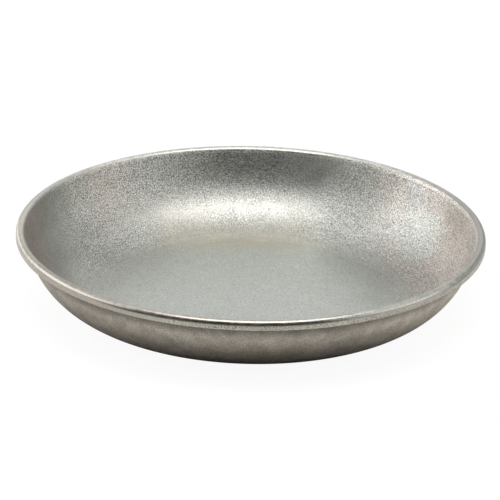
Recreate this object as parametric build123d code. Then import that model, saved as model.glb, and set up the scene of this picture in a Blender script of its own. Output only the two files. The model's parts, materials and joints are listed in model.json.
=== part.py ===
from build123d import *
import math
import os

# A gold pan: one dish drawn from sheet steel, its edge rolled outwards and down over a stiffening wire.
# Millimetres, +Z up. The origin is on the table, under the centre of the flat floor.

# Driving dimensions
RIM_DIAMETER = 355.6        # over the rolled rim: the 14 inch size
DEPTH = 57.15               # from the table to the top of the rim: 2 1/4 inches
SHEET = 0.9                 # 20 gauge steel
CORNER_RADIUS = 60.0        # outside radius between the floor and the wall
WALL_LEAN = 17.0            # degrees that the wall leans out from vertical
WIRE_DIAMETER = 5.0         # stiffening wire inside the rim
RIM_HEIGHT = 7.4            # from the top of the rim down to the fold under it
FOLD_RADIUS = 1.1           # outside radius of that fold
WIRE_CLEARANCE = 0.03       # between the wire and the sheet rolled over it
HEM_GAP = 0.3               # between the sheet's cut edge and the wall that it meets
WIRE_END_GAP = 1.5          # between the wire's two cut ends

# Worked out from them. "Mid" is the middle of the sheet's thickness.
HALF_SHEET = SHEET / 2
CORNER_MID_RADIUS = CORNER_RADIUS - HALF_SHEET
FOLD_MID_RADIUS = FOLD_RADIUS - HALF_SHEET
ROLL_INSIDE = WIRE_DIAMETER / 2 + WIRE_CLEARANCE
ROLL_MID_RADIUS = ROLL_INSIDE + HALF_SHEET
RIM_RADIUS = RIM_DIAMETER / 2
WIRE_R = RIM_RADIUS - ROLL_INSIDE - SHEET           # wire's centre, out from the axis
WIRE_Z = DEPTH - ROLL_INSIDE - SHEET                # wire's centre, up from the table
FOLD_R = RIM_RADIUS - FOLD_RADIUS
FOLD_Z = DEPTH - RIM_HEIGHT + FOLD_RADIUS
LEAN = math.radians(WALL_LEAN)
WALL_TOP_R = WIRE_R - ROLL_MID_RADIUS * math.cos(LEAN)
WALL_TOP_Z = WIRE_Z + ROLL_MID_RADIUS * math.sin(LEAN)


def floor_radius():
    """Radius of the flat floor: the wall is followed down from the roll to the corner, then round it."""
    corner_top_z = CORNER_RADIUS - CORNER_MID_RADIUS * math.sin(LEAN)
    corner_top_r = WALL_TOP_R - (WALL_TOP_Z - corner_top_z) * math.tan(LEAN)
    return corner_top_r - CORNER_MID_RADIUS * math.cos(LEAN)


def hem_rise():
    """Angle above horizontal, in radians, at which the hem runs in from the fold, touching the wire."""
    out = FOLD_R - WIRE_R
    down = WIRE_Z - FOLD_Z
    reach = ROLL_INSIDE - (FOLD_RADIUS - SHEET)
    return math.acos(reach / math.hypot(out, down)) - math.atan2(out, down)


def hem_length(rise):
    """Length of the straight hem, from the fold to the cut edge that stops just short of the wall."""
    start_r = FOLD_R - FOLD_MID_RADIUS * math.sin(rise)
    start_z = FOLD_Z - FOLD_MID_RADIUS * math.cos(rise)
    from_wall_mid = (start_r - WALL_TOP_R) * math.cos(LEAN) + (WALL_TOP_Z - start_z) * math.sin(LEAN)
    cut_edge_skew = HALF_SHEET * abs(math.sin(rise - LEAN))
    return (from_wall_mid - HALF_SHEET - HEM_GAP - cut_edge_skew) / math.cos(rise - LEAN)


def pan_shell():
    """The dish and its rolled rim: one sheet of even thickness, followed from the axis to its cut edge."""
    rise = hem_rise()
    with BuildSketch(Plane.XZ) as section:
        with BuildLine():
            floor = Line((0, HALF_SHEET), (floor_radius(), HALF_SHEET))
            corner = JernArc(floor @ 1, floor % 1, CORNER_MID_RADIUS, 90 - WALL_LEAN)
            wall = Line(corner @ 1, (WALL_TOP_R, WALL_TOP_Z))
            roll = JernArc(wall @ 1, wall % 1, ROLL_MID_RADIUS, WALL_LEAN - 180)
            face = Line(roll @ 1, (RIM_RADIUS - HALF_SHEET, FOLD_Z))
            fold = JernArc(face @ 1, face % 1, FOLD_MID_RADIUS, -90 - math.degrees(rise))
            PolarLine(fold @ 1, hem_length(rise), direction=fold % 1)
        trace(line_width=SHEET)
    return revolve(section.sketch, Axis.Z)


def rim_wire():
    """Round wire bent into a ring inside the roll, with a small gap between its cut ends."""
    gap_angle = math.degrees(WIRE_END_GAP / WIRE_R)
    section = Plane.XZ * Pos(WIRE_R, WIRE_Z) * Circle(WIRE_DIAMETER / 2)
    return revolve(section, Axis.Z, 360 - gap_angle)


os.makedirs("parts", exist_ok=True)
export_step(pan_shell(), "parts/pan_shell.step")
export_step(rim_wire(), "parts/rim_wire.step")
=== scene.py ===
import json
import math
from collections import namedtuple
from types import SimpleNamespace

import bpy
import numpy as np
from mathutils import Euler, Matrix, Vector, noise


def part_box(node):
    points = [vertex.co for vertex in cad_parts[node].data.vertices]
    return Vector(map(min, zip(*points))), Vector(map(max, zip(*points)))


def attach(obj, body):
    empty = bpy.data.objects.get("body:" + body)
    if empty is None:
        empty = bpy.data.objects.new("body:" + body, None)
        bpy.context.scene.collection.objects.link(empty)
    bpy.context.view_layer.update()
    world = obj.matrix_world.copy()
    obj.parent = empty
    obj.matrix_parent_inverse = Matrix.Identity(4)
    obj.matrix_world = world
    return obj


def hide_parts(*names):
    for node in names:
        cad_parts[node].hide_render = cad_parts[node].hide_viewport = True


# A gold pan of bare sheet steel on a pale floor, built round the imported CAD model. Metres, +Z up.
MM = 0.001

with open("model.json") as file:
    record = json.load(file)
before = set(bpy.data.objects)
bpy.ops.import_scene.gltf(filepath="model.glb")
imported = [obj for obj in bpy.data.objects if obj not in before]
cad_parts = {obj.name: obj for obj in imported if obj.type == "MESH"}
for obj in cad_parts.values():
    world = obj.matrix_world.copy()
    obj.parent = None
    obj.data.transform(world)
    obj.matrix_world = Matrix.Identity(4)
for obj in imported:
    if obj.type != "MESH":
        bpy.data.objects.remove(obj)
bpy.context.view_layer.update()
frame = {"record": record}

# ---------------------------------------------------------------------------------------------
# Sizes. The overall ones come from the frame; the sheet's own bends are the design's values.
# R is out from the axis, Z is up from the table, and "mid" is the middle of the sheet's thickness.
# ---------------------------------------------------------------------------------------------
RIM_DIAMETER, _, DEPTH = frame["record"]["size"]["bbox_m"]
wire_low, wire_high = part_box("rim_wire")

SHEET = 0.9 * MM
CORNER_RADIUS = 60.0 * MM
WALL_LEAN = math.radians(17.0)
RIM_HEIGHT = 7.4 * MM
FOLD_RADIUS = 1.1 * MM
HEM_GAP = 0.3 * MM
WIRE_CLEARANCE = 0.03 * MM
WIRE_END_GAP = 1.5 * MM

RIM_RADIUS = RIM_DIAMETER / 2
HALF_SHEET = SHEET / 2
WIRE_RADIUS = (wire_high.z - wire_low.z) / 2
ROLL_INSIDE = WIRE_RADIUS + WIRE_CLEARANCE
ROLL_MID_RADIUS = ROLL_INSIDE + HALF_SHEET
WIRE_R = RIM_RADIUS - ROLL_INSIDE - SHEET
WIRE_Z = DEPTH - ROLL_INSIDE - SHEET
FOLD_R = RIM_RADIUS - FOLD_RADIUS
FOLD_Z = DEPTH - RIM_HEIGHT + FOLD_RADIUS
FOLD_MID_RADIUS = FOLD_RADIUS - HALF_SHEET
CORNER_MID_RADIUS = CORNER_RADIUS - HALF_SHEET

# ---------------------------------------------------------------------------------------------
# The sheet's section: its middle line from the axis to the cut edge, as points (r, z), each with
# a normal that points to the bowl side. Each stretch is a line or an arc.
# ---------------------------------------------------------------------------------------------
FLOOR_STEP = 5.5 * MM               # between the points along each stretch
CORNER_STEP = 1.5 * MM
WALL_STEP = 1.2 * MM
LIP_STEP = 0.4 * MM
ROLL_STEP = 0.35 * MM
FACE_STEP = 0.7 * MM
FOLD_STEP = 0.13 * MM
HEM_STEP = 1.0 * MM
LIP_LENGTH = 3.0 * MM               # the last of the wall, under the roll


def line(start, end, step):
    """Points along a straight stretch, without its last one, and its normal."""
    start, end = np.array(start), np.array(end)
    length = float(np.linalg.norm(end - start))
    count = max(1, round(length / step))
    along = (end - start) / length
    normal = np.array([-along[1], along[0]])
    points = [start + (end - start) * i / count for i in range(count)]
    return [(point, normal) for point in points]


def arc(centre, radius, first, last, step, side):
    """Points along an arc from angle first to last, without its last one. side -1 turns round the bowl."""
    count = max(2, round(abs(last - first) * radius / step))
    stretch = []
    for i in range(count):
        angle = first + (last - first) * i / count
        out = np.array([math.cos(angle), math.sin(angle)])
        stretch.append((np.array(centre) + radius * out, side * out))
    return stretch


def wall_top():
    """Where the wall's middle line meets the roll."""
    return np.array([
        WIRE_R - ROLL_MID_RADIUS * math.cos(WALL_LEAN),
        WIRE_Z + ROLL_MID_RADIUS * math.sin(WALL_LEAN),
    ])


def hem():
    """The straight hem from the fold to just short of the wall: its rise in radians, start and end."""
    down = WIRE_Z - FOLD_Z
    across = FOLD_R - WIRE_R
    reach = ROLL_INSIDE - (FOLD_RADIUS - SHEET)
    rise = math.acos(reach / math.hypot(across, down)) - math.atan2(down, across)
    start = np.array([FOLD_R, FOLD_Z]) - FOLD_MID_RADIUS * np.array([math.sin(rise), math.cos(rise)])
    top_r, top_z = wall_top()
    from_wall = (start[0] - top_r) * math.cos(WALL_LEAN) + (top_z - start[1]) * math.sin(WALL_LEAN)
    skew = HALF_SHEET * abs(math.sin(rise - WALL_LEAN))
    length = (from_wall - HALF_SHEET - HEM_GAP - skew) / math.cos(rise - WALL_LEAN)
    return rise, start, start + length * np.array([-math.cos(rise), math.sin(rise)])


def sheet_section():
    """The whole middle line, and the index of the point where the wall meets the roll."""
    top = wall_top()
    corner_top_z = CORNER_RADIUS - CORNER_MID_RADIUS * math.sin(WALL_LEAN)
    corner_top_r = top[0] - (top[1] - corner_top_z) * math.tan(WALL_LEAN)
    floor_radius = corner_top_r - CORNER_MID_RADIUS * math.cos(WALL_LEAN)
    up_the_wall = np.array([math.sin(WALL_LEAN), math.cos(WALL_LEAN)])
    lip_start = top - LIP_LENGTH * up_the_wall
    face_r = RIM_RADIUS - HALF_SHEET
    rise, hem_start, hem_end = hem()
    corner_centre = (floor_radius, CORNER_RADIUS)
    straight_down = -math.pi / 2

    section = line((0.0, HALF_SHEET), (floor_radius, HALF_SHEET), FLOOR_STEP)
    section += arc(corner_centre, CORNER_MID_RADIUS, straight_down, -WALL_LEAN, CORNER_STEP, -1)
    section += line((corner_top_r, corner_top_z), lip_start, WALL_STEP)
    section += line(lip_start, top, LIP_STEP)
    top_index = len(section)
    section += arc((WIRE_R, WIRE_Z), ROLL_MID_RADIUS, math.pi - WALL_LEAN, 0.0, ROLL_STEP, 1)
    section += line((face_r, WIRE_Z), (face_r, FOLD_Z), FACE_STEP)
    section += arc((FOLD_R, FOLD_Z), FOLD_MID_RADIUS, 0.0, straight_down - rise, FOLD_STEP, 1)
    section += line(hem_start, hem_end, HEM_STEP)
    section.append((hem_end, section[-1][1]))
    return section, top_index


# ---------------------------------------------------------------------------------------------
# Small unevenness of a hand-finished pan, the same for every piece so that none cuts another.
# ---------------------------------------------------------------------------------------------
DENT_DEPTH = 0.16 * MM              # soft dents in the corner and the wall
DENT_SIZE = 34.0 * MM
RIM_SWAY = 0.22 * MM                # how far the rim wanders in from a true circle, and down from level
SWAY_WAVES = 2.1                    # how often it does so on the way round
DROP_WAVES = 1.7
DROP_NOISE_PLACE = Vector((9.0, 0.0, 0.0))
ON_AXIS = 1e-9


def from_0_to_1(place):
    """Smooth noise at a place, as a value between 0 and 1."""
    return 0.5 + 0.5 * noise.noise(place)


def hand_formed(points):
    """Moves points (n, 3) by soft noise: nothing at the table, most at the wall and rim, never outwards."""
    moved = points.copy()
    for index, (x, y, z) in enumerate(points):
        radius = math.hypot(x, y)
        if radius < ON_AXIS:
            continue
        height = min(1.0, max(0.0, z / DEPTH))
        outward = np.array([x / radius, y / radius])
        round_rim = Vector((outward[0], outward[1], 0.0))
        sway = from_0_to_1(round_rim * SWAY_WAVES)
        drop = from_0_to_1(round_rim * DROP_WAVES + DROP_NOISE_PLACE)
        dent = from_0_to_1(Vector((x, y, z)) / DENT_SIZE)
        on_the_wall = 4 * height * (1 - height)         # 1 half way up, 0 at the table and the rim
        moved[index, :2] -= outward * (RIM_SWAY * sway * height + DENT_DEPTH * dent * on_the_wall)
        moved[index, 2] -= RIM_SWAY * drop * height ** 2
    return moved


# ---------------------------------------------------------------------------------------------
# Meshes
# ---------------------------------------------------------------------------------------------
AROUND = 384                        # points round each ring
AROUND_WIRE = 24                    # points round the wire's own section
POLES = 2                           # the two points on the axis, which come before the rings

CREASE_PLACE = -1.0 * MM            # middle of the low ridge, below the top of the wall
CREASE_WIDTH = 2.0 * MM
CREASE_RISE = 0.13 * MM


def new_object(name, points, faces):
    mesh = bpy.data.meshes.new(name)
    mesh.from_pydata([tuple(p) for p in points], [], faces)
    mesh.validate()
    for polygon in mesh.polygons:
        polygon.use_smooth = True
    piece = bpy.data.objects.new(name, mesh)
    bpy.context.scene.collection.objects.link(piece)
    return piece


def turned(outline):
    """Points and faces of an outline turned round the axis. Its first and last points lie on the axis."""
    angles = np.arange(AROUND) * 2 * math.pi / AROUND
    ring = outline[1:-1]
    points = [(0.0, 0.0, outline[0][1]), (0.0, 0.0, outline[-1][1])]
    for r, z in ring:
        points += [(r * math.cos(a), r * math.sin(a), z) for a in angles]
    last = POLES + (len(ring) - 1) * AROUND
    faces = []
    for j in range(AROUND):
        k = (j + 1) % AROUND
        faces.append((0, POLES + j, POLES + k))
        for i in range(len(ring) - 1):
            low = POLES + i * AROUND
            high = low + AROUND
            faces.append((low + j, high + j, high + k, low + k))
        faces.append((last + j, 1, last + k))
    return np.array(points), faces


def sharp_cut_edge(mesh, count):
    """Marks the two corner rings of the sheet's cut edge sharp. They are rings count and count + 1.

    An edge lies along one of them when both its ends are on the same ring. Points on neither ring get
    -1 or -2, which never match.
    """
    sharp = mesh.attributes.new("sharp_edge", "BOOLEAN", "EDGE")
    rings = {POLES + ring * AROUND + j: ring for ring in (count, count + 1) for j in range(AROUND)}
    ends = [edge.vertices for edge in mesh.edges]
    flags = [rings.get(start, -1) == rings.get(end, -2) for start, end in ends]
    sharp.data.foreach_set("value", flags)


def crease(place):
    """Rise of the low ridge left round the bowl, just under the lip, where the sheet was turned over."""
    across = (place - CREASE_PLACE) / CREASE_WIDTH
    return CREASE_RISE * math.cos(math.pi * across) ** 2 if abs(across) < 0.5 else 0.0


def for_each_ring(values):
    """Values per point of the outline, spread over the points that turned() makes."""
    return np.concatenate([[values[0], values[-1]], np.repeat(values[1:-1], AROUND)]).astype(np.float32)


def build_shell():
    """The pan: both skins of the sheet as one closed mesh, with what the material reads off it."""
    section, top_index = sheet_section()
    steps = [np.linalg.norm(there[0] - here[0]) for here, there in zip(section, section[1:])]
    along = np.concatenate([[0.0], np.cumsum(steps)])
    past_wall = along - along[top_index]
    rises = [crease(place) for place in past_wall]
    inside = [point + normal * (HALF_SHEET + rise) for (point, normal), rise in zip(section, rises)]
    outside = [point - normal * HALF_SHEET for point, normal in section]
    points, faces = turned(inside + outside[::-1])
    shell = new_object("pan_dish", hand_formed(points), faces)
    sharp_cut_edge(shell.data, len(inside) - 2)
    readings = {
        "bowl_side": np.concatenate([np.ones(len(inside)), np.zeros(len(outside))]),
        "past_wall": np.concatenate([past_wall, past_wall[::-1]]),
    }
    for name, values in readings.items():
        attribute = shell.data.attributes.new(name, "FLOAT", "POINT")
        attribute.data.foreach_set("value", for_each_ring(values))
    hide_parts("pan_shell")
    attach(shell, "root")
    return shell


def build_wire():
    """The stiffening wire, moved with the rim that is rolled over it, and with its two ends cut square."""
    gap = WIRE_END_GAP / WIRE_R
    spins = np.linspace(gap / 2, 2 * math.pi - gap / 2, AROUND)
    points = []
    for spin in spins:
        for step in range(AROUND_WIRE):
            turn = 2 * math.pi * step / AROUND_WIRE
            r = WIRE_R + WIRE_RADIUS * math.cos(turn)
            points.append((r * math.cos(spin), r * math.sin(spin), WIRE_Z + WIRE_RADIUS * math.sin(turn)))
    faces = [tuple(reversed(range(AROUND_WIRE)))]
    for i in range(AROUND - 1):
        for step in range(AROUND_WIRE):
            here = i * AROUND_WIRE + step
            beside = i * AROUND_WIRE + (step + 1) % AROUND_WIRE
            faces.append((here, beside, beside + AROUND_WIRE, here + AROUND_WIRE))
    faces.append(tuple((AROUND - 1) * AROUND_WIRE + step for step in range(AROUND_WIRE)))
    wire = new_object("rim_stiffening_wire", hand_formed(np.array(points)), faces)
    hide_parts("rim_wire")
    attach(wire, "root")
    return wire


# ---------------------------------------------------------------------------------------------
# Writing node trees
# ---------------------------------------------------------------------------------------------
# Indexes of the sockets used, among their node's inputs or outputs
OBJECT_COORDINATES = 3
ATTRIBUTE_VALUE = 2
VECTOR_LENGTH = 1
VECTOR_SCALE = 3
MIX_FACTOR = 0
MIX_A_VALUE = 2
MIX_B_VALUE = 3
MIX_A_COLOUR = 6
MIX_B_COLOUR = 7
MIX_COLOUR_OUT = 2


class Nodes:
    """A short way to write a node tree: each call makes nodes and returns the output to go on with."""

    def __init__(self, tree):
        self.tree = tree
        tree.nodes.clear()

    def add(self, kind, inputs=None, out=0, **settings):
        made = self.tree.nodes.new(kind)
        for key, value in settings.items():
            setattr(made, key, value)
        for key, value in (inputs or {}).items():
            socket = made.inputs[key]
            if isinstance(value, bpy.types.NodeSocket):
                self.tree.links.new(value, socket)
            else:
                socket.default_value = value
        return made.outputs[out] if made.outputs else None

    def place(self):
        """Where the shader is, in the piece's own frame."""
        return self.add("ShaderNodeTexCoord", out=OBJECT_COORDINATES)

    def attribute(self, name):
        return self.add("ShaderNodeAttribute", out=ATTRIBUTE_VALUE, attribute_name=name)

    def math(self, operation, a, b=0.0):
        return self.add("ShaderNodeMath", {0: a, 1: b}, operation=operation)

    def times(self, *factors):
        product = factors[0]
        for factor in factors[1:]:
            product = self.math("MULTIPLY", product, factor)
        return product

    def ramp(self, value, low, high, to_low=0.0, to_high=1.0):
        """value from low to high, smoothly, as to_low to to_high. Low may be the larger."""
        limits = {0: value, 1: low, 2: high, 3: to_low, 4: to_high}
        return self.add("ShaderNodeMapRange", limits, interpolation_type="SMOOTHSTEP")

    def band(self, value, middle, half_width):
        """1 where value is at the middle, smoothly down to 0 at half_width away."""
        away = self.math("ABSOLUTE", self.math("SUBTRACT", value, middle))
        return self.ramp(away, half_width, 0.0)

    def split(self, vector):
        parts = self.tree.nodes.new("ShaderNodeSeparateXYZ")
        self.tree.links.new(vector, parts.inputs[0])
        return parts.outputs

    def join(self, x, y, z=0.0):
        return self.add("ShaderNodeCombineXYZ", {0: x, 1: y, 2: z})

    def length(self, vector):
        return self.add("ShaderNodeVectorMath", {0: vector}, out=VECTOR_LENGTH, operation="LENGTH")

    def scaled(self, colour, factor):
        return self.add("ShaderNodeVectorMath", {0: colour, VECTOR_SCALE: factor}, operation="SCALE")

    def mix_value(self, factor, a, b):
        """Value a where factor is 0, value b where it is 1."""
        ends = {MIX_FACTOR: factor, MIX_A_VALUE: a, MIX_B_VALUE: b}
        return self.add("ShaderNodeMix", ends, data_type="FLOAT")

    def mix(self, factor, a, b):
        """Colour a where factor is 0, colour b where it is 1."""
        ends = {MIX_FACTOR: factor, MIX_A_COLOUR: opaque(a), MIX_B_COLOUR: opaque(b)}
        return self.add("ShaderNodeMix", ends, out=MIX_COLOUR_OUT, data_type="RGBA")

    def toned(self, colour, mask, tone):
        """The colour, made tone times as bright where the mask is 1."""
        return self.scaled(colour, self.mix_value(mask, 1.0, tone))

    def noise(self, vector, size, detail=2.0, roughness=0.5, offset=0.0):
        """Noise whose lumps are about size metres wide. Each use has its own offset."""
        moved = self.add("ShaderNodeVectorMath", {0: vector, 1: (offset, offset, offset)}, operation="ADD")
        looks = {"Vector": moved, "Scale": 1.0 / size, "Detail": detail, "Roughness": roughness}
        return self.add("ShaderNodeTexNoise", looks)

    def bump(self, strength, distance, height, normal=None):
        inputs = {"Strength": strength, "Distance": distance, "Height": height}
        if normal is not None:
            inputs["Normal"] = normal
        return self.add("ShaderNodeBump", inputs)

    def finish_metal(self, colour, rough, normal):
        looks = {"Base Color": colour, "Metallic": 1.0, "Roughness": rough, "Normal": normal}
        shader = self.add("ShaderNodeBsdfPrincipled", looks)
        self.add("ShaderNodeOutputMaterial", {0: shader})


def opaque(colour):
    """A plain (r, g, b) with alpha added. A socket passes through."""
    return colour if isinstance(colour, bpy.types.NodeSocket) else (*colour, 1.0)


def new_material(name):
    material = bpy.data.materials.new(name)
    material.use_nodes = True
    return material, Nodes(material.node_tree)


# ---------------------------------------------------------------------------------------------
# The pan's steel. A mask runs from 0 to 1, and a pair of places says where it is 0 and where 1.
# X runs to the right, Y to the back, and a heading is an angle in plan from +X towards +Y.
# ---------------------------------------------------------------------------------------------
Oval = namedtuple("Oval", "x y half_width half_depth")          # a soft-edged patch, in plan

FLOOR_TO_WALL = (104 * MM, 140 * MM)                            # radii
OVAL_EDGE = (1.0, 0.25)                                         # as shares of its half width or depth

PATCH_SIZE = 11 * MM
SCUFF_SIZE = 4.5 * MM

# Distances along the sheet past the top of the wall
WALL_TO_ROLL = (0.2 * MM, 2.0 * MM)
ROLL_TO_FACE = (7.4 * MM, 9.0 * MM)

# Worn smooth by handling, towards the left
WORN_HEADING = math.radians(199.3)
WORN_SMOOTH = (90 * MM, 130 * MM)

# Painted warm tint in the highlight round the back of the corner, where the grain is weaker too
HIGHLIGHT_RADIUS = 151 * MM
HIGHLIGHT_HALF_WIDTH = 15 * MM
HIGHLIGHT_TO_BACK = (70 * MM, 135 * MM)
HIGHLIGHT_TO_LEFT = (76 * MM, 36 * MM)

# Painted tan reflection, at the far edge of the floor
TAN_LEFT_END = (-92 * MM, -52 * MM)
TAN_RIGHT_END = (66 * MM, 26 * MM)
TAN_NEAR_EDGE = (94 * MM, 104 * MM)
TAN_FAR_EDGE = (150 * MM, 124 * MM)

# Painted highlight, on the back wall right of the middle, where the grain is weaker too
BACK_WALL_HIGHLIGHT = Oval(62 * MM, 166 * MM, 48 * MM, 22 * MM)


def distance_towards(n, at, heading):
    """Distance from the pan's axis towards a heading."""
    return n.math("ADD", n.times(at.x, math.cos(heading)), n.times(at.y, math.sin(heading)))


def inside_oval(n, at, oval):
    """Mask of a patch in the bowl."""
    across = n.times(n.math("SUBTRACT", at.x, oval.x), 1 / oval.half_width)
    along = n.times(n.math("SUBTRACT", at.y, oval.y), 1 / oval.half_depth)
    return n.times(at.bowl_side, n.ramp(n.length(n.join(across, along)), *OVAL_EDGE))


def steel_places(n):
    """Where the shader is on the pan, and the masks and noises that more than one function reads."""
    place = n.place()
    x, y, height = n.split(place)
    at = SimpleNamespace(place=place, x=x, y=y, height=height)
    at.radius = n.length(n.join(x, y))
    at.aside = n.math("ABSOLUTE", x)
    at.leftward = distance_towards(n, at, WORN_HEADING)
    at.bowl_side = n.attribute("bowl_side")
    at.past_wall = n.attribute("past_wall")
    at.underside = n.math("SUBTRACT", 1.0, at.bowl_side)
    at.up_wall = n.ramp(at.radius, *FLOOR_TO_WALL)
    at.on_roll = n.times(at.bowl_side, n.ramp(at.past_wall, *WALL_TO_ROLL))
    at.on_face = n.times(at.bowl_side, n.ramp(at.past_wall, *ROLL_TO_FACE))
    at.worn_smooth = n.times(at.bowl_side, n.ramp(at.leftward, *WORN_SMOOTH))
    # Painted warm tint in the highlight round the back of the corner
    at.rubbed = n.times(
        at.bowl_side,
        n.band(at.radius, HIGHLIGHT_RADIUS, HIGHLIGHT_HALF_WIDTH),
        n.ramp(y, *HIGHLIGHT_TO_BACK),
        n.ramp(x, *HIGHLIGHT_TO_LEFT),
    )
    # Painted tan reflection at the far edge of the floor
    at.tan = n.times(
        at.bowl_side,
        n.ramp(x, *TAN_LEFT_END),
        n.ramp(x, *TAN_RIGHT_END),
        n.ramp(y, *TAN_NEAR_EDGE),
        n.ramp(y, *TAN_FAR_EDGE),
    )
    # Painted highlight on the back wall
    at.polished = inside_oval(n, at, BACK_WALL_HIGHLIGHT)
    at.patchy = n.noise(place, PATCH_SIZE, detail=4.0, roughness=0.6, offset=0.7)
    at.scuffs = n.noise(place, SCUFF_SIZE, detail=3.0, roughness=0.6, offset=0.52)
    return at


# The bowl's colour ---------------------------------------------------------------------------
FLOOR_GREY = (0.612, 0.631, 0.594)
WALL_GREY = (0.593, 0.602, 0.560)
WARM_REFLECTION = (0.648, 0.585, 0.538)
# Painted tan reflection at the far edge of the floor
TAN_REFLECTION = (0.638, 0.608, 0.533)
# Painted warm tint of the highlight round the back of the corner
HIGHLIGHT_TINT = (0.612, 0.590, 0.545)
TARNISH = (0.330, 0.285, 0.250)

CONTRAST = (0.3, 0.7)               # noise values that stand for the two ends of a variation
# The painted warm reflection on the side walls
WARM_LUMPS = 46 * MM
WARM_CONTRAST = (0.30, 0.56)
WARM_SIDES = (78 * MM, 128 * MM)    # out to either side
LEFT_HALF = (0.0, -60 * MM)         # the left half is warm only towards the back and near the lip
LEFT_WARM_BACK = (78 * MM, 128 * MM)
LEFT_WARM_LIP = (122 * MM, 148 * MM)
TAN_CONTRAST = (0.25, 0.6)
TAN_SHARE = (0.6, 1.0)
FLOOR_CLOUDS = (0.98, 1.02)         # how many times as bright, from patch to patch
WALL_CLOUDS = (0.94, 1.05)
LEFT_SHADE = (104 * MM, 136 * MM)
LEFT_SHADE_TONE = 0.72
HIGHLIGHT_TINT_SHARE = 0.5

# Soft patches of painted light and shade, and how many times as bright the middle of each is
PAINTED_LIGHT_AND_SHADE_PATCHES = (
    (BACK_WALL_HIGHLIGHT, 1.25),
    (Oval(-14 * MM, 174 * MM, 62 * MM, 18 * MM), 0.82),         # back wall, under the lip
    (Oval(84 * MM, 132 * MM, 44 * MM, 24 * MM), 0.85),          # corner, back right
    (Oval(128 * MM, 96 * MM, 40 * MM, 42 * MM), 1.14),          # wall, back right
    (Oval(112 * MM, 12 * MM, 46 * MM, 84 * MM), 0.85),          # corner, right
    (Oval(-126 * MM, 74 * MM, 42 * MM, 44 * MM), 0.93),         # corner and wall, left
    (Oval(164 * MM, 26 * MM, 22 * MM, 50 * MM), 0.93),          # wall, right, under the lip
    (Oval(-90 * MM, 122 * MM, 42 * MM, 26 * MM), 0.96),         # corner, back left
)
TARNISHED = Oval(160 * MM, 62 * MM, 24 * MM, 28 * MM)           # wall, right
TARNISH_BELOW_LIP = (-1 * MM, -5 * MM)
TARNISH_CONTRAST = (0.38, 0.60)
TARNISH_SHARE = (0.10, 0.55)


def warm_side_reflection(n, at):
    """Mask of the painted warm reflection, a brownish tint, on the walls to the left and the right."""
    broad = n.noise(at.place, WARM_LUMPS)
    on_left = n.ramp(at.x, *LEFT_HALF)
    left_warmth = n.math("MAXIMUM", n.ramp(at.y, *LEFT_WARM_BACK), n.ramp(at.leftward, *LEFT_WARM_LIP))
    warmth = n.times(n.ramp(broad, *WARM_CONTRAST), n.mix_value(on_left, 1.0, left_warmth))
    return n.times(at.up_wall, n.ramp(at.aside, *WARM_SIDES), warmth)


def bowl_colour(n, at):
    """Cool grey floor, painted warm reflection on the side walls, painted tan reflection at the far edge of
    the floor, painted shade on the left, a painted highlight tint round the back of the corner, patches of
    painted light and shade, and tarnish on the right.
    """
    colour = n.mix(at.up_wall, FLOOR_GREY, WALL_GREY)
    # Painted warm reflection on the side walls
    colour = n.mix(warm_side_reflection(n, at), colour, WARM_REFLECTION)
    # Painted tan reflection at the far edge of the floor
    colour = n.mix(n.times(at.tan, n.ramp(at.patchy, *TAN_CONTRAST, *TAN_SHARE)), colour, TAN_REFLECTION)
    on_floor = n.ramp(at.patchy, *CONTRAST, *FLOOR_CLOUDS)
    on_wall = n.ramp(at.patchy, *CONTRAST, *WALL_CLOUDS)
    colour = n.scaled(colour, n.mix_value(at.up_wall, on_floor, on_wall))
    colour = n.scaled(colour, n.ramp(at.leftward, *LEFT_SHADE, 1.0, LEFT_SHADE_TONE))
    # Painted warm tint in the highlight round the back of the corner
    colour = n.mix(n.times(at.rubbed, HIGHLIGHT_TINT_SHARE), colour, HIGHLIGHT_TINT)
    # Painted light and shade, patch by patch
    for oval, tone in PAINTED_LIGHT_AND_SHADE_PATCHES:
        colour = n.toned(colour, inside_oval(n, at, oval), tone)
    tarnished = n.times(inside_oval(n, at, TARNISHED), n.ramp(at.past_wall, *TARNISH_BELOW_LIP))
    share = n.ramp(at.patchy, *TARNISH_CONTRAST, *TARNISH_SHARE)
    return n.mix(n.times(tarnished, share), colour, TARNISH)


# The underside's colour. The pairs of places are heights, except for the first. --------------
UNDERSIDE_BROWN = (0.615, 0.562, 0.485)
# Painted shade near the table
BASE_PAINTED_SHADE = (0.130, 0.120, 0.110)
# Painted shade in the groove under the rim
GROOVE_PAINTED_SHADE = (0.160, 0.130, 0.100)

# Painted light on the underside towards the right
UNDERSIDE_RIGHT = (60 * MM, 120 * MM)
UNDERSIDE_RIGHT_PAINTED_LIGHT = 1.22
BROWNING = (4 * MM, 16 * MM)
BROWN_SHARE = (0.45, 1.0)
NEAR_TABLE = (15 * MM, 4 * MM)
BASE_SHADE_SHARE = 0.45
BELOW_RIM = (DEPTH - 20.5 * MM, DEPTH - 10.8 * MM)
BELOW_RIM_TONE = 0.43
IN_GROOVE = (DEPTH - 11.2 * MM, DEPTH - 9.4 * MM)
GROOVE_SHADE_SHARE = 0.7
MOTTLE_CONTRAST = (0.38, 0.62)
MOTTLE = (0.90, 1.12)


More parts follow.
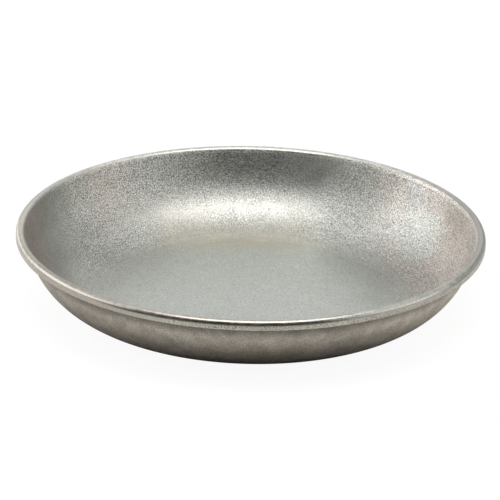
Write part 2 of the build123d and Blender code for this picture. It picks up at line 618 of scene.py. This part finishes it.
def underside_colour(n, at, bowl):
    """Mottled brown-grey, with painted shade near the table, down the wall under the rim and in the groove
    there, and painted light towards the right.
    """
    colour = n.mix(n.ramp(at.height, *BROWNING, *BROWN_SHARE), bowl, UNDERSIDE_BROWN)
    colour = n.scaled(colour, n.ramp(at.patchy, *MOTTLE_CONTRAST, *MOTTLE))
    # Painted shade near the table
    colour = n.mix(n.ramp(at.height, *NEAR_TABLE, 0.0, BASE_SHADE_SHARE), colour, BASE_PAINTED_SHADE)
    # Painted light towards the right
    colour = n.scaled(colour, n.ramp(at.x, *UNDERSIDE_RIGHT, 1.0, UNDERSIDE_RIGHT_PAINTED_LIGHT))
    # Painted shade down the wall under the rim
    colour = n.scaled(colour, n.ramp(at.height, *BELOW_RIM, 1.0, BELOW_RIM_TONE))
    # Painted shade in the groove under the rim
    return n.mix(n.ramp(at.height, *IN_GROOVE, 0.0, GROOVE_SHADE_SHARE), colour, GROOVE_PAINTED_SHADE)


# The rim's colour: the roll, its flat face, a painted dark reflection between them and a painted highlight
# on the crease --
ROLL_GREY = (0.605, 0.600, 0.548)
ROLL_CREAM = (0.630, 0.590, 0.525)
FACE_YELLOW = (0.725, 0.694, 0.586)
FACE_TAN = (0.600, 0.550, 0.475)
# Painted highlight on the crease
CREASE_PAINTED_HIGHLIGHT = (0.860, 0.832, 0.750)

CREAM_HEADING = math.radians(225.0)
CREAM_PLACE = (60 * MM, 121 * MM)
SCUFF_CONTRAST = (0.32, 0.68)
SCUFF_TONES = (0.90, 1.10)
# Painted light behind and at the back left, painted shade at the front left and the right
ROLL_LEFT = (-60 * MM, -130 * MM)
ROLL_LEFT_BACK_TO_FRONT = (10 * MM, -80 * MM)
ROLL_LEFT_PAINTED_TONES = (1.15, 0.88)
ROLL_BACK = (90 * MM, 150 * MM)
ROLL_BACK_PAINTED_LIGHT = 1.32
ROLL_RIGHT = (140 * MM, 170 * MM)
ROLL_RIGHT_PAINTED_SHADE = 0.82

# The sides run from the first pair of places out to the second. Dark band places are past the wall.
SIDE_INNER_END = (50 * MM, 100 * MM)
SIDE_OUTER_END = (174 * MM, 150 * MM)
# Painted dark reflection between roll and face
SIDE_DARK_BAND_PLACE = 7.6 * MM
SIDE_DARK_BAND_HALF_WIDTH = 0.9 * MM
SIDE_DARK_BAND_TONE = 0.75
FRONT_HALF = (0.0, -50 * MM)
FRONT_LEFT_END = (-124 * MM, -88 * MM)
FRONT_RIGHT_END = (82 * MM, 46 * MM)
FRONT_DARK_BAND_PLACE = 8.1 * MM
FRONT_DARK_BAND_HALF_WIDTH = 1.3 * MM
FRONT_DARK_BAND_TONE = 0.45

# Painted highlight on the crease, towards the back right
CREASE_HEADING = math.radians(33.7)
CREASE_HIGHLIGHT_SPAN = (18 * MM, 83 * MM)
CREASE_HALF_WIDTH = 1.1 * MM
CREASE_LUMPS = 3.2 * MM
CREASE_CONTRAST = (0.36, 0.60)
CREASE_SHARE = (0.25, 1.0)


def roll_colour(n, at):
    """The bare roll: grey and scuffed, creamier at the front left, with painted light behind and at the
    back left and painted shade at the front left and the right.
    """
    cream = n.ramp(distance_towards(n, at, CREAM_HEADING), *CREAM_PLACE)
    left_painted_tone = n.ramp(at.y, *ROLL_LEFT_BACK_TO_FRONT, *ROLL_LEFT_PAINTED_TONES)
    colour = n.mix(cream, ROLL_GREY, ROLL_CREAM)
    colour = n.scaled(colour, n.ramp(at.scuffs, *SCUFF_CONTRAST, *SCUFF_TONES))
    # Painted light and shade on the roll
    colour = n.toned(colour, n.ramp(at.x, *ROLL_LEFT), left_painted_tone)
    colour = n.scaled(colour, n.ramp(at.y, *ROLL_BACK, 1.0, ROLL_BACK_PAINTED_LIGHT))
    return n.scaled(colour, n.ramp(at.x, *ROLL_RIGHT, 1.0, ROLL_RIGHT_PAINTED_SHADE))


def with_painted_dark_band(n, at, colour, on_sides):
    """The colour with a painted dark reflection between roll and face: faint at the sides, deep in front.
    """
    side_dark_band = n.band(at.past_wall, SIDE_DARK_BAND_PLACE, SIDE_DARK_BAND_HALF_WIDTH)
    colour = n.toned(colour, n.times(side_dark_band, on_sides), SIDE_DARK_BAND_TONE)
    in_front = n.times(
        n.ramp(at.y, *FRONT_HALF),
        n.ramp(at.x, *FRONT_LEFT_END),
        n.ramp(at.x, *FRONT_RIGHT_END),
    )
    front_dark_band = n.band(at.past_wall, FRONT_DARK_BAND_PLACE, FRONT_DARK_BAND_HALF_WIDTH)
    return n.toned(colour, n.times(front_dark_band, in_front, at.bowl_side), FRONT_DARK_BAND_TONE)


def rim_colour(n, at, bowl):
    """The bowl's colour, then the roll, the face, the painted dark reflection, and a painted highlight in
    lumps along the crease towards the back right.
    """
    on_sides = n.times(n.ramp(at.aside, *SIDE_INNER_END), n.ramp(at.aside, *SIDE_OUTER_END))
    colour = n.mix(at.on_roll, bowl, roll_colour(n, at))
    colour = n.mix(at.on_face, colour, n.mix(on_sides, FACE_YELLOW, FACE_TAN))
    # Painted dark reflection between roll and face
    colour = with_painted_dark_band(n, at, colour, on_sides)
    # Painted highlight in lumps along the crease
    rubbed = n.ramp(n.noise(at.place, CREASE_LUMPS, offset=0.44), *CREASE_CONTRAST, *CREASE_SHARE)
    behind_right = n.ramp(distance_towards(n, at, CREASE_HEADING), *CREASE_HIGHLIGHT_SPAN)
    crease_line = n.band(at.past_wall, CREASE_PLACE, CREASE_HALF_WIDTH)
    return n.mix(n.times(crease_line, behind_right, rubbed), colour, CREASE_PAINTED_HIGHLIGHT)


# Marks ---------------------------------------------------------------------------------------
SPUN_RADIUS = 120 * MM
SPUN_HALF_WIDTH = 26 * MM
RING_WIDTH = 1.5 * MM
RING_STRETCH = 0.05                 # how fast the rings change along their length
RING_TONES = (0.93, 1.06)
SCRATCH_CONTRAST = (0.70, 0.80)
SCRATCH_TONE = 1.40
SCRATCHED_LUMPS = 40 * MM
SCRATCHED_CONTRAST = (0.46, 0.60)


def scratches(n, at, turn, length, width):
    """Mask of thin straight marks that all run one way: along X, once turned by turn radians."""
    turning = {"Vector": at.place, "Angle": turn}
    turned_round = n.add("ShaderNodeVectorRotate", turning, rotation_type="Z_AXIS")
    along, across, up = n.split(turned_round)
    squeezed = n.join(n.times(along, width / length), across, up)
    return n.ramp(n.noise(squeezed, width, detail=1.0, roughness=0.4, offset=turn), *SCRATCH_CONTRAST)


def marked(n, at, colour):
    """The colour with fine rings left by spinning, and a few scratches."""
    stretched = n.join(at.radius, n.times(at.x, RING_STRETCH), n.times(at.y, RING_STRETCH))
    rings = n.noise(stretched, RING_WIDTH, roughness=0.6, offset=0.21)
    spun = n.times(at.bowl_side, n.band(at.radius, SPUN_RADIUS, SPUN_HALF_WIDTH))
    colour = n.toned(colour, spun, n.ramp(rings, *CONTRAST, *RING_TONES))
    one_way = scratches(n, at, turn=0.7, length=31 * MM, width=0.55 * MM)
    other_way = scratches(n, at, turn=2.3, length=24 * MM, width=0.50 * MM)
    here_and_there = n.ramp(n.noise(at.place, SCRATCHED_LUMPS, offset=0.9), *SCRATCHED_CONTRAST)
    scratched = n.times(n.math("MAXIMUM", one_way, other_way), at.bowl_side, here_and_there)
    return n.toned(colour, scratched, SCRATCH_TONE)


# Grain and polish ----------------------------------------------------------------------------
FINE_GRAIN = 0.48 * MM
COARSE_GRAIN = 0.68 * MM
FINE_SHARE = 0.6
COARSE_SHARE = 0.7
SPECK_CONTRAST = 5.2
GRAIN_DEPTH = 0.30 * MM
RIPPLE_SIZE = 4.0 * MM              # on the roll
RIPPLE_DEPTH = 0.07 * MM

# How much of the grain is left in each place
GRAIN_ON_FLOOR = 0.27
GRAIN_WORN_SMOOTH = 0.3
GRAIN_UNDERNEATH = 0.35
GRAIN_ON_ROLL = 0.2
GRAIN_ON_FACE = 0.55
GRAIN_IN_HIGHLIGHT = 0.6
GRAIN_IN_BACK_WALL_HIGHLIGHT = 0.45
GRAIN_ON_TAN = 0.42

BLOTCH_SIZE = 14 * MM
BOWL_ROUGHNESS = (0.34, 0.41)
ROLL_CONTRAST = (0.35, 0.65)
ROLL_ROUGHNESS = (0.29, 0.40)
FACE_ROUGHNESS = 0.34


def grain_strength(n, at):
    """How strong the blasted grain is: full on the wall, less in every place named here."""
    strength = n.mix_value(at.up_wall, GRAIN_ON_FLOOR, 1.0)
    left_of_it = (
        (at.worn_smooth, GRAIN_WORN_SMOOTH),
        (at.underside, GRAIN_UNDERNEATH),
        (at.on_roll, n.mix_value(at.on_face, GRAIN_ON_ROLL, GRAIN_ON_FACE)),
        (at.rubbed, GRAIN_IN_HIGHLIGHT),
        (at.polished, GRAIN_IN_BACK_WALL_HIGHLIGHT),
        (at.tan, GRAIN_ON_TAN),
    )
    for mask, share in left_of_it:
        strength = n.times(strength, n.mix_value(mask, 1.0, share))
    return strength


def steel_roughness(n, at):
    """Satin all over, with blotches in the bowl and scuffs on the roll."""
    blotches = n.noise(at.place, BLOTCH_SIZE, detail=4.0, roughness=0.6, offset=0.31)
    rough = n.ramp(blotches, *CONTRAST, *BOWL_ROUGHNESS)
    rough = n.mix_value(at.on_roll, rough, n.ramp(at.scuffs, *ROLL_CONTRAST, *ROLL_ROUGHNESS))
    return n.mix_value(at.on_face, rough, FACE_ROUGHNESS)


def blasted_steel():
    """Bare steel with a blasted grain: specks in the colour, and the same lumps in the surface."""
    material, n = new_material("blasted_steel")
    at = steel_places(n)
    bowl = bowl_colour(n, at)
    colour = n.mix(at.underside, rim_colour(n, at, bowl), underside_colour(n, at, bowl))

    strength = grain_strength(n, at)
    fine = n.noise(at.place, FINE_GRAIN, roughness=0.6)
    coarse = n.noise(at.place, COARSE_GRAIN, detail=1.0, roughness=0.6, offset=0.13)
    specks = n.times(n.math("SUBTRACT", coarse, 0.5), strength, SPECK_CONTRAST)
    colour = n.scaled(colour, n.math("ADD", 1.0, specks))
    colour = marked(n, at, colour)

    lumps = n.math("ADD", n.times(fine, FINE_SHARE), n.times(coarse, COARSE_SHARE))
    ripple = n.noise(at.place, RIPPLE_SIZE, offset=0.61)
    grain = n.bump(strength, GRAIN_DEPTH, lumps)
    surface = n.bump(at.on_roll, RIPPLE_DEPTH, ripple, grain)
    n.finish_metal(colour, steel_roughness(n, at), surface)
    return material


# ---------------------------------------------------------------------------------------------
# The wire's steel
# ---------------------------------------------------------------------------------------------
WIRE_DARK = (0.360, 0.350, 0.330)
WIRE_PALE = (0.440, 0.420, 0.390)
WIRE_LUMPS = 6 * MM
WIRE_CONTRAST = (0.35, 0.65)
WIRE_SPECKLE = 0.8 * MM
WIRE_ROUGHNESS = (0.38, 0.52)
WIRE_BUMP_STRENGTH = 0.4
WIRE_BUMP_DEPTH = 0.03 * MM


def drawn_wire():
    """Drawn wire: dull steel, darker and paler in places, with a fine speckle."""
    material, n = new_material("drawn_wire")
    place = n.place()
    speckle = n.noise(place, WIRE_SPECKLE, detail=3.0, roughness=0.6)
    colour = n.mix(n.ramp(n.noise(place, WIRE_LUMPS), *WIRE_CONTRAST), WIRE_DARK, WIRE_PALE)
    rough = n.ramp(speckle, *CONTRAST, *WIRE_ROUGHNESS)
    n.finish_metal(colour, rough, n.bump(WIRE_BUMP_STRENGTH, WIRE_BUMP_DEPTH, speckle))
    return material


# ---------------------------------------------------------------------------------------------
# Studio
# ---------------------------------------------------------------------------------------------
WHITE = (1.0, 1.0, 1.0)
PAPER_IN_SHADE = (0.09, 0.09, 0.09)
PAPER_IN_STEEL = (0.74, 0.74, 0.74)
PAPER_SEEN = (0.12, 0.12, 0.12)
PAPER_GLOW = 0.93
CLEAR_OF_PAN = (120 * MM, 172 * MM)
FRONT_OF_PAPER = (-400 * MM, -310 * MM)
FLOOR_HALF_WIDTH = 12.0
FLOOR_DROP = 0.2 * MM               # keeps the floor just off the pan's own bottom

ROOM_BRIGHTNESS = 0.035


def floor_paper():
    """White studio paper. The camera sees it evenly white, and the steel reflects a softer grey, with
    painted shade near the pan and in front.
    """
    material, n = new_material("floor_paper")
    seen_by_camera = n.add("ShaderNodeLightPath")
    place = n.place()
    clear_of_pan = n.ramp(n.length(place), *CLEAR_OF_PAN)
    behind_front = n.ramp(n.split(place)[1], *FRONT_OF_PAPER)
    # Painted shade near the pan and in front, seen only in the steel
    grey = n.mix(n.times(clear_of_pan, behind_front), PAPER_IN_SHADE, PAPER_IN_STEEL)
    for_steel = n.add("ShaderNodeBsdfDiffuse", {0: grey})
    seen = n.add("ShaderNodeBsdfDiffuse", {0: opaque(PAPER_SEEN)})
    glow = n.add("ShaderNodeEmission", {0: opaque(WHITE), 1: PAPER_GLOW})
    for_camera = n.add("ShaderNodeAddShader", {0: seen, 1: glow})
    shader = n.add("ShaderNodeMixShader", {0: seen_by_camera, 1: for_steel, 2: for_camera})
    n.add("ShaderNodeOutputMaterial", {0: shader})
    return material


def build_floor():
    half = FLOOR_HALF_WIDTH
    corners = [(-half, -half, 0), (half, -half, 0), (half, half, 0), (-half, half, 0)]
    floor = new_object("floor", corners, [(0, 1, 2, 3)])
    floor.location.z = -FLOOR_DROP
    floor.data.materials.append(floor_paper())


def build_world():
    """A dim, even room."""
    world = bpy.data.worlds.new("studio")
    bpy.context.scene.world = world
    world.use_nodes = True
    n = Nodes(world.node_tree)
    background = n.add("ShaderNodeBackground", {0: opaque(WHITE), 1: ROOM_BRIGHTNESS})
    n.add("ShaderNodeOutputWorld", {0: background})


def softbox(name, azimuth, elevation, distance, width, height, brightness):
    """A panel facing the pan. Azimuth 0 is behind it, 90 to the right, 180 on the camera's side."""
    turn = math.radians(azimuth)
    rise = math.radians(elevation)
    lamp = bpy.data.lights.new(name, "AREA")
    lamp.shape = "RECTANGLE"
    lamp.size = width
    lamp.size_y = height
    lamp.energy = brightness * math.pi * width * height
    light = bpy.data.objects.new(name, lamp)
    towards = Vector((math.sin(turn) * math.cos(rise), math.cos(turn) * math.cos(rise), math.sin(rise)))
    light.location = towards * distance
    light.rotation_mode = "QUATERNION"
    light.rotation_quaternion = towards.to_track_quat("Z", "Y")
    bpy.context.scene.collection.objects.link(light)


# Name, azimuth and elevation in degrees, distance, width, height, brightness
SOFTBOXES = (
    ("overhead", 172, 76, 2.2, 2.0, 1.05, 2.95),
    ("left", -84, 21, 2.2, 2.5, 1.6, 1.85),
    ("left back", -42, 20, 2.4, 1.0, 1.3, 0.35),
    ("right", 103, 20, 2.2, 1.9, 1.6, 1.22),
    ("right back", 63, 25, 2.4, 1.3, 1.2, 0.36),
    ("left corner", -38, 8, 2.5, 1.0, 0.5, 1.30),
    ("backdrop", 8, 15, 2.6, 6.0, 1.5, 0.42),
    ("back", 0, 28, 2.6, 2.2, 1.0, 0.59),
    ("ceiling", 0, 73, 3.14, 6.0, 3.6, 0.72),
)

CAMERA_ELEVATION = math.radians(22.11)
CAMERA_TILT = 0.0238                # roll of the picture, in radians
CAMERA_DISTANCE = 22 * RIM_RADIUS
SENSOR = 36.0                       # width in millimetres, as Blender takes it
LENS = 372.4
SHIFT_X = -0.00204
SHIFT_Y = -0.04108
CLIP_START = 0.1
CLIP_END = 50.0


def build_camera():
    """A long lens aimed at the middle of the rim, from the front."""
    camera = bpy.data.cameras.new("camera")
    camera.sensor_width = SENSOR
    camera.lens = LENS
    camera.shift_x = SHIFT_X
    camera.shift_y = SHIFT_Y
    camera.clip_start = CLIP_START
    camera.clip_end = CLIP_END
    holder = bpy.data.objects.new("camera", camera)
    back = Vector((0.0, -math.cos(CAMERA_ELEVATION), math.sin(CAMERA_ELEVATION)))
    holder.location = Vector((0.0, 0.0, DEPTH)) + back * CAMERA_DISTANCE
    look = Euler((math.pi / 2 - CAMERA_ELEVATION, 0.0, 0.0)).to_matrix()
    roll = Euler((0.0, 0.0, CAMERA_TILT)).to_matrix()
    holder.rotation_euler = (look @ roll).to_euler()
    bpy.context.scene.collection.objects.link(holder)
    bpy.context.scene.camera = holder


build_shell().data.materials.append(blasted_steel())
build_wire().data.materials.append(drawn_wire())
build_floor()
build_world()
for panel in SOFTBOXES:
    softbox(*panel)
build_camera()
bpy.context.scene.view_settings.view_transform = "Standard"
